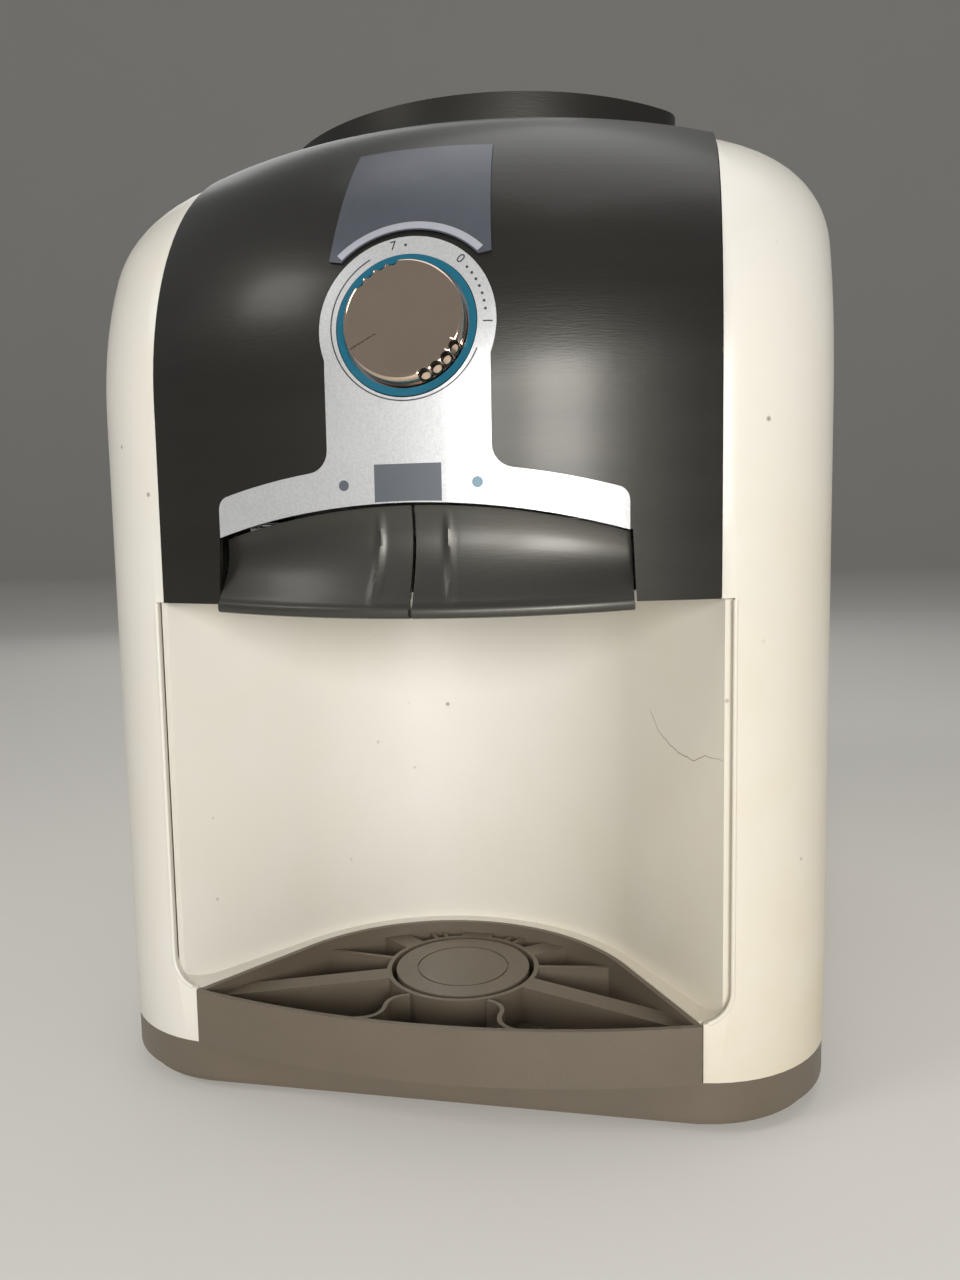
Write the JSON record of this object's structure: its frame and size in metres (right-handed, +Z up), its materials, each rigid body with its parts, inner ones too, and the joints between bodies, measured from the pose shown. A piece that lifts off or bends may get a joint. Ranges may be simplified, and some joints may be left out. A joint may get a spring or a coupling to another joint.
{
  "type": "countertop water dispenser",
  "caption": "Compressor-cooled tabletop water dispenser with a bottle collar on top, two press paddles, a thermostat knob and a drip tray in a round-backed alcove.",
  "frame": {"origin": "on the ground under the middle of the body's box, cord left out", "axes": "+X to the right seen from the front, +Y to the back, +Z up"},
  "size_m": [0.31, 0.5211, 0.43],
  "materials": {
    "white_abs": "aged ivory ABS, satin",
    "charcoal": "dark metallic, semi-gloss",
    "label_silver": "pearl silver film",
    "name_blue": "satin film",
    "teal_print": "satin print",
    "knob_chrome": "bronze-tinted plated",
    "bright_chrome": "plated",
    "taupe": "fine satin",
    "black_plastic": "matte",
    "natural_plastic": "translucent white",
    "sheet_steel": "galvanised",
    "black_enamel": "black enamel",
    "bright_steel": "zinc plated",
    "stainless": "drawn",
    "copper": "drawn copper",
    "rubber": "moulded",
    "silicone": "milky",
    "foam": "expanded bead foam",
    "cord_pvc": "black PVC"
  },
  "bodies": {
    "cabinet": {"base_pan": "taupe", "rubber_feet": "rubber", "front_housing": "white_abs", "alcove_liner": "white_abs", "tap_shelf": "white_abs", "side_panel_left": "white_abs", "side_panel_right": "white_abs", "top_cover": "white_abs", "back_panel": "sheet_steel", "front_panel": "charcoal", "label_plate": "label_silver", "name_plate": "name_blue", "dial_ring": "teal_print", "knob_bezel": "bright_chrome", "thermostat_body": "black_plastic", "thermostat_bracket": "sheet_steel", "thermostat_nut": "bright_steel", "paddle_bracket": "sheet_steel", "hinge_pins": "bright_steel", "left_tap_body": "natural_plastic", "right_tap_body": "natural_plastic", "left_stem_spring": "bright_steel", "right_stem_spring": "bright_steel", "natural_hose": "silicone", "cold_hose": "silicone", "bottle_probe": "natural_plastic", "tank_lid": "natural_plastic", "cold_tank": "stainless", "water_baffle": "natural_plastic", "foam_front": "foam", "foam_rear": "foam", "tank_rack": "sheet_steel", "evaporator_coil": "copper", "thermostat_bulb": "copper", "compressor": "black_enamel", "compressor_plate": "black_enamel", "compressor_grommets": "rubber", "relay_cover": "black_plastic", "filter_dryer": "copper", "refrigerant_tubes": "copper", "condenser_tube": "black_enamel", "condenser_wires": "black_enamel", "condenser_brackets": "black_enamel", "rear_spacers": "rubber", "screws": "bright_steel", "strain_relief": "rubber", "power_cord": "cord_pvc", "cord_coil": "cord_pvc", "plug": "black_plastic"},
    "left_paddle": {"left_paddle": "charcoal"},
    "right_paddle": {"right_paddle": "charcoal"},
    "left_stem": {"left_valve_stem": "natural_plastic", "left_stem_seal": "rubber"},
    "right_stem": {"right_valve_stem": "natural_plastic", "right_stem_seal": "rubber"},
    "knob": {"knob": "knob_chrome", "thermostat_shaft": "bright_steel"},
    "drip_tray": {"drip_tray": "taupe", "cup_rest": "taupe"},
    "bottle_collar": {"bottle_collar": "charcoal"}
  },
  "joints": [
    {"name": "left_paddle_hinge", "type": "hinge", "parent": "cabinet", "child": "left_paddle", "pos_m": [0, -0.18421, 0.238], "axis": [1, 0, 0], "range_deg": [0, 8]},
    {"name": "right_paddle_hinge", "type": "hinge", "parent": "cabinet", "child": "right_paddle", "pos_m": [0, -0.18421, 0.238], "axis": [1, 0, 0], "range_deg": [0, 8]},
    {"name": "left_stem_slide", "type": "slide", "parent": "cabinet", "child": "left_stem", "axis": [0, 1, 0], "range_m": [0, 0.003], "stiffness_N_per_m": 40, "springref_m": -0.003, "deforming": ["left_stem_spring"]},
    {"name": "right_stem_slide", "type": "slide", "parent": "cabinet", "child": "right_stem", "axis": [0, 1, 0], "range_m": [0, 0.003], "stiffness_N_per_m": 40, "springref_m": -0.003, "deforming": ["right_stem_spring"]},
    {"name": "knob_turn", "type": "hinge", "parent": "cabinet", "child": "knob", "pos_m": [0, -0.21178, 0.305], "axis": [0, 0.9887, -0.1496], "range_deg": [-200, 100]},
    {"name": "tray_slide", "type": "slide", "parent": "cabinet", "child": "drip_tray", "axis": [0, -1, 0], "range_m": [0, 0.1]},
    {"name": "collar_lift", "type": "slide", "parent": "cabinet", "child": "bottle_collar", "axis": [0, 0, 1], "range_m": [0, 0.06]}
  ],
  "couplings": [
    {"joint": "left_stem_slide", "follows": "left_paddle_hinge", "m_per_rad": 0.021476},
    {"joint": "right_stem_slide", "follows": "right_paddle_hinge", "m_per_rad": 0.021476}
  ]
}
